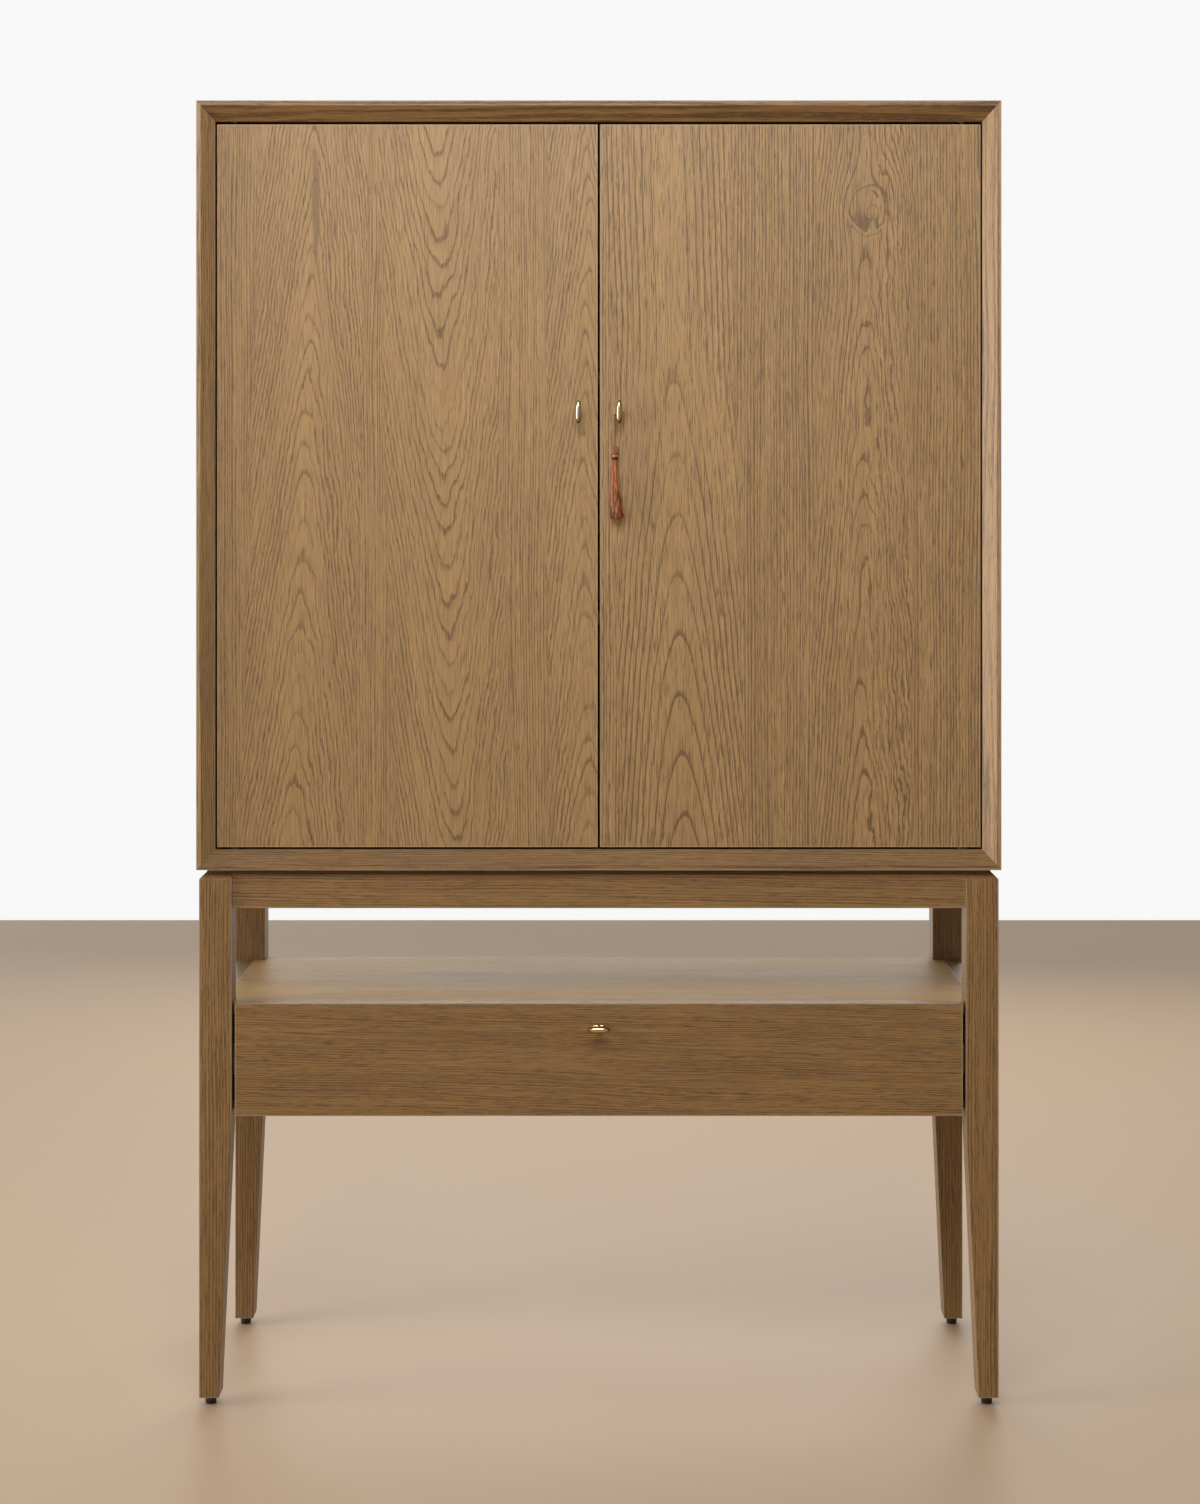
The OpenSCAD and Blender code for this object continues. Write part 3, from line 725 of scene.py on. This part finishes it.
# The foot is an oblong with round ends. Its profile is how far the outline has drawn in at
# each height, and the neck's is the radius at each height, all in millimetres.
FOOT_HALF_WIDE = 3.25
FOOT_STRAIGHT = 5.5
FOOT_PROFILE = ((0.0, 0.0), (0.0, 1.6), (0.15, 2.4), (0.6, 3.2), (1.3, 3.75), (2.2, 4.0))
NECK_PROFILE = (
    (3.2, 3.0), (3.1, 4.4), (3.0, 5.4), (3.0, 8.0), (3.0, 20.0), (3.05, 22.0), (3.2, 24.0),
    (3.6, 25.6), (3.8, 27.4),
)
# Each knob's name, its body, the middle of its foot, and whether its bar stands upright.
KNOBS = (
    ("left", "left_door", (-0.031, -0.200, 1.517), True),
    ("right", "right_door", (0.031, -0.200, 1.517), True),
    ("drawer", "drawer", (0.0, -0.212, 0.5805), False),
)


def make_knob(name, material, origin, upright):
    """A foot, a turned neck and a slender bar, all cast in one."""
    def place(x, y, z):
        return Vector((x, y, z)) if upright else Vector((z, y, x))

    bm = bmesh.new()
    foot = []
    for inset, rise in FOOT_PROFILE:
        ring = []
        for i in range(48):
            angle = 2 * math.pi * i / 48
            radius = (FOOT_HALF_WIDE - inset) * MM
            straight = FOOT_STRAIGHT * MM * (1 if math.sin(angle) >= 0 else -1)
            ring.append(place(
                radius * math.cos(angle), -rise * MM, radius * math.sin(angle) + straight
            ))
        foot.append(ring)
    skin(bm, foot)
    neck = [(radius * MM, height * MM) for radius, height in NECK_PROFILE]
    lathe(bm, neck, lambda x, y, z: place(x, -z, y), 40)

    bar = []
    for i in range(41):
        t = math.pi * (i / 40) - math.pi / 2
        radius = max(KNOB_HALF_WIDE * math.cos(t) ** 0.82, 0.05 * MM)
        bar.append((radius, KNOB_HALF_LONG * math.sin(t)))
    lathe(bm, bar, lambda x, y, z: place(x, y - KNOB_REACH, z), 48)
    bmesh.ops.recalc_face_normals(bm, faces=bm.faces)
    knob = new_object(name, bm, material)
    knob.location = origin
    bpy.context.view_layer.update()
    return knob


# ---------------------------------------------------------------- the room

def make_world():
    """White behind the object, and soft light: most from the left, behind and low down."""
    world = bpy.data.worlds.new("studio")
    SCENE.world = world
    world.use_nodes = True
    tree = world.node_tree
    tree.nodes.clear()
    coords = tree.nodes.new("ShaderNodeTexCoord")
    parts = tree.nodes.new("ShaderNodeSeparateXYZ")
    tree.links.new(coords.outputs["Generated"], parts.inputs[0])

    def slope(socket, low, high, bottom, top):
        """Brightness from bottom at low to top at high, along one direction."""
        node = tree.nodes.new("ShaderNodeMapRange")
        tree.links.new(socket, node.inputs["Value"])
        limits = (("From Min", low), ("From Max", high), ("To Min", bottom), ("To Max", top))
        for key, value in limits:
            node.inputs[key].default_value = value
        return node.outputs[0]

    def product(a, b):
        node = tree.nodes.new("ShaderNodeMath")
        node.operation = "MULTIPLY"
        tree.links.new(a, node.inputs[0])
        tree.links.new(b, node.inputs[1])
        return node.outputs[0]

    side = slope(parts.outputs["X"], -1.0, 0.8, 1.62, 0.34)
    depth = slope(parts.outputs["Y"], -0.9, 0.7, 0.40, 1.5)
    height = slope(parts.outputs["Z"], 0.1, 0.8, 1.0, 0.42)
    strength = product(product(side, depth), height)
    light = tree.nodes.new("ShaderNodeBackground")
    tree.links.new(strength, light.inputs["Strength"])
    light.inputs["Color"].default_value = rgb(1.0, 0.985, 0.96)
    seen = tree.nodes.new("ShaderNodeBackground")
    seen.inputs["Color"].default_value = rgb(0.94, 0.94, 0.938)
    path = tree.nodes.new("ShaderNodeLightPath")
    choose = tree.nodes.new("ShaderNodeMixShader")
    tree.links.new(path.outputs["Is Camera Ray"], choose.inputs[0])
    tree.links.new(light.outputs[0], choose.inputs[1])
    tree.links.new(seen.outputs[0], choose.inputs[2])
    output = tree.nodes.new("ShaderNodeOutputWorld")
    tree.links.new(choose.outputs[0], output.inputs["Surface"])


LIGHT_COLOUR = (1.0, 0.97, 0.93)


def make_light(name, place, target, width, height, power, spread=180):
    """A soft rectangular lamp that the camera doesn't see; spread is in degrees."""
    data = bpy.data.lights.new(name, "AREA")
    data.shape = "RECTANGLE"
    data.size = width
    data.size_y = height
    data.energy = power
    data.spread = math.radians(spread)
    data.color = LIGHT_COLOUR
    light = bpy.data.objects.new(name, data)
    light.location = place
    light.rotation_euler = (Vector(target) - Vector(place)).to_track_quat("-Z", "Y").to_euler()
    light.visible_camera = False
    SCENE.collection.objects.link(light)


# The floor's far edge is where the camera sees the white begin.
FLOOR_X = (-9, -3, 3, 9)
FLOOR_Y = (-9, -4, 0, 4.78)


def make_floor():
    """A plain pale floor in a few large faces."""
    shade = Shade("pale_floor")
    x, y, _ = shade.point()
    cloud = shade.noise(x * 1.5, y * 1.5, 0.0, detail=3.0)
    colour = shade.blend(rgb(0.455, 0.315, 0.197), rgb(0.495, 0.345, 0.218), cloud)
    material = shade.finish(Base_Color=colour, Roughness=(cloud - 0.5) * 0.1 + 0.55)
    bm = bmesh.new()
    rows = [[bm.verts.new((x, y, 0)) for x in FLOOR_X] for y in FLOOR_Y]
    for a, b in zip(rows, rows[1:]):
        for i in range(3):
            bm.faces.new((a[i], a[i + 1], b[i + 1], b[i]))
    floor = new_object("floor", bm, material, smooth=False)


# ---------------------------------------------------------------- boards

def ease_edges(node, width=0.8 * MM, segments=2):
    """Rounds a board's sharp edges, after joining the triangles of each flat face."""
    piece = NODES[node]
    weld = piece.modifiers.new("weld", "WELD")
    weld.merge_threshold = 0.01 * MM
    flatten = piece.modifiers.new("whole_faces", "DECIMATE")
    flatten.decimate_type = "DISSOLVE"
    flatten.angle_limit = math.radians(0.5)
    bevel = piece.modifiers.new("eased_edges", "BEVEL")
    bevel.width = width
    bevel.segments = segments
    bevel.limit_method = "ANGLE"
    bevel.angle_limit = math.radians(35)
    bevel.harden_normals = True


def dress(node, material):
    for slot in NODES[node].material_slots:
        slot.material = material


# The arched figures of each door's veneer, from left to right.
LEFT_LEAVES = [
    dict(centre=-0.449, lean=0.03, depth=0.030, swell=-0.02, taper=0.135, half=0.085, wobble=0.4),
    dict(centre=-0.236, lean=-0.025, depth=0.046, swell=0.01, taper=-0.13, half=0.090, wobble=0.4),
    dict(centre=-0.018, depth=0.028, swell=-0.02, taper=0.135, half=0.062, wobble=0.4),
]
RIGHT_LEAVES = [
    dict(centre=0.118, lean=-0.018, depth=0.072, taper=0.070, spacing=0.0064, half=0.095,
         wobble=0.0, calm=0.3, stop=0.16, thin=0.30),
    dict(centre=0.407, lean=0.006, depth=0.034, taper=0.060, spacing=0.0056, half=0.075,
         thin=0.5, knot=(0.411, 0.420, 0.0265, 0.037)),
]

OAK_BOARDS = {
    "left_door": dict(axes="zxy", stain=DOOR_STAIN, leaves=LEFT_LEAVES,
                      contrast=1.35, lens=(-0.433, 0.430, 0.0065, 0.10), seed=1.0),
    "right_door": dict(axes="zxy", stain=DOOR_STAIN, leaves=RIGHT_LEAVES, seed=5.3,
                       spacing=0.0050, line=0.25, contrast=2.0),
    "case_top": dict(axes="xyz", stain=TRIM_STAIN_WITH_SHADE, seed=9.1, tone=0.97),
    "case_bottom": dict(axes="xyz", stain=TRIM_STAIN_WITH_SHADE, seed=12.4, tone=0.97),
    "case_side_left": dict(axes="zyx", stain=CASE_STAIN, coat=0.45, seed=15.2, tone=0.96),
    "case_side_right": dict(axes="zyx", stain=CASE_STAIN, coat=0.45, seed=18.8, tone=0.98),
    "case_back": dict(axes="zxy", stain=DOOR_STAIN, seed=21.5),
    "upper_shelf": dict(axes="xyz", stain=DOOR_STAIN, seed=24.9),
    "lower_shelf": dict(axes="xyz", stain=DOOR_STAIN, seed=27.3),
    # Painted light: the neck frame's tone is raised to lighten it against the shade in its recess.
    "neck_frame": dict(axes="xyz", stain=DOOR_STAIN, seed=30.6, tone=1.1),
    "front_apron": dict(axes="xzy", stain=STAND_STAIN, seed=33.7, tone=0.97, slant=0.01),
    "rear_apron": dict(axes="xzy", stain=STAND_STAIN, seed=36.1, tone=0.95),
    "left_apron": dict(axes="yzx", stain=STAND_STAIN, seed=39.2, tone=0.95),
    "right_apron": dict(axes="yzx", stain=STAND_STAIN, seed=42.4, tone=0.96),
    "front_left_leg": dict(axes="zxy", stain=STAND_STAIN, seed=45.6, tone=0.93),
    "front_right_leg": dict(axes="zxy", stain=STAND_STAIN, seed=48.5, tone=0.97),
    "rear_left_leg": dict(axes="zxy", stain=STAND_STAIN, seed=51.3, tone=0.92),
    "rear_right_leg": dict(axes="zxy", stain=STAND_STAIN, seed=54.7, tone=0.92),
    "open_shelf": dict(axes="xyz", stain=SHELF_STAIN_WITH_LIGHT, seed=57.1, contrast=0.6, coat=0.0),
    "left_side_panel": dict(axes="yzx", stain=STAND_STAIN, seed=60.9, tone=0.95),
    "right_side_panel": dict(axes="yzx", stain=STAND_STAIN, seed=63.4, tone=0.95),
    "bay_bottom": dict(axes="xyz", stain=STAND_STAIN, seed=66.2, tone=0.95),
    "bay_back": dict(axes="xzy", stain=STAND_STAIN, seed=69.5, tone=0.95),
    "drawer_front": dict(
        axes="xzy", stain=STAND_STAIN, seed=72.8, tone=0.95, slant=0.022, spacing=0.0034,
    ),
}
BIRCH_BOARDS = {
    "corner_blocks": "zxy", "drawer_box_front": "xzy", "drawer_back": "xzy",
    "drawer_side_left": "yzx", "drawer_side_right": "yzx", "drawer_bottom": "xyz",
}
STEEL_NODES = [
    "back_screws", "shelf_pins", "left_knob_screw", "right_knob_screw", "left_strike",
    "right_strike", "case_bolts", "leg_inserts", "runner_outers", "runner_middles",
    "runner_inners", "drawer_knob_screw", "front_fixing_screws",
]
BRONZE_NODES = ["pivot_bushes", "left_pivot_pins", "right_pivot_pins"]
PLASTIC_NODES = [
    "door_catches", "front_left_foot", "front_right_foot", "rear_left_foot", "rear_right_foot",
]


def build_tassel():
    """The cord first, with the pieces that hang on it."""
    rust = yarn("rust_yarn", (0.56, 0.185, 0.055), (0.085, 0.023, 0.009))
    rust_cord = yarn("rust_cord", (0.26, 0.075, 0.03), (0.10, 0.028, 0.013), twist=2600.0)
    orange = yarn("orange_yarn", (0.75, 0.28, 0.08), (0.45, 0.12, 0.03))
    navy = yarn("dark_yarn", (0.030, 0.022, 0.030), (0.008, 0.007, 0.011))
    cord = make_thread(rust_cord)
    head = make_head(rust)
    band = make_band(navy)
    collar = make_collar(orange)
    hitch = make_hitch(rust_cord)
    skirt = make_skirt(rust)
    ring = make_ring(brass("ring_brass"))
    for piece, node, finish in (
        (cord, "tassel_thread", "rust_thread"), (head, "tassel_head", "rust_thread"),
        (band, "tassel_band", "dark_thread"), (skirt, "tassel_skirt", "rust_thread"),
        (ring, "tassel_ring", "brass"),
    ):
        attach(piece, "tassel")
        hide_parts(node)
    for piece in (collar, hitch):
        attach(piece, "tassel")


def build_knobs():
    """The doors' knobs stand upright and the drawer's lies level."""
    upright_brass = brass("upright_brass", (KNOB_HALF_WIDE, KNOB_HALF_LONG))
    level_brass = brass("level_brass", (KNOB_HALF_LONG, KNOB_HALF_WIDE))
    for name, body, origin, upright in KNOBS:
        metal = upright_brass if upright else level_brass
        knob = make_knob(name + "_pull", metal, origin, upright)
        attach(knob, body)
        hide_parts(name + "_knob")


def dress_nodes():
    """Materials and eased edges for the nodes that the CAD's own meshes show."""
    for node, look in OAK_BOARDS.items():
        dress(node, oak(node, **look))
        ease_edges(node)
    for number, (node, axes) in enumerate(BIRCH_BOARDS.items()):
        dress(node, birch(node, axes, number * 3.1))
        ease_edges(node, 0.6 * MM)
    zinc = steel()
    for node in STEEL_NODES:
        dress(node, zinc)
    bronze = dark_bronze()
    for node in BRONZE_NODES:
        dress(node, bronze)
    black = plastic()
    for node in PLASTIC_NODES:
        dress(node, black)
        ease_edges(node, 0.7 * MM, 3)


def build():
    SCENE.view_settings.view_transform = "Standard"
    make_camera()
    build_tassel()
    build_knobs()
    dress_nodes()
    make_floor()
    make_world()
    make_light(
        "window", place=(-4.0, -1.15, 1.45), target=(0, -0.3, 1.3), width=1.8, height=2.0,
        power=70,
    )
    make_light(
        "key", place=(-0.2, -2.8, 3.1), target=(0.1, -0.2, 1.7), width=1.7, height=1.3,
        power=30, spread=120,
    )
    make_light(
        "rear", place=(0.3, 3.3, 2.0), target=(0, 0, 0.8), width=3.2, height=1.6, power=50,
    )


build()
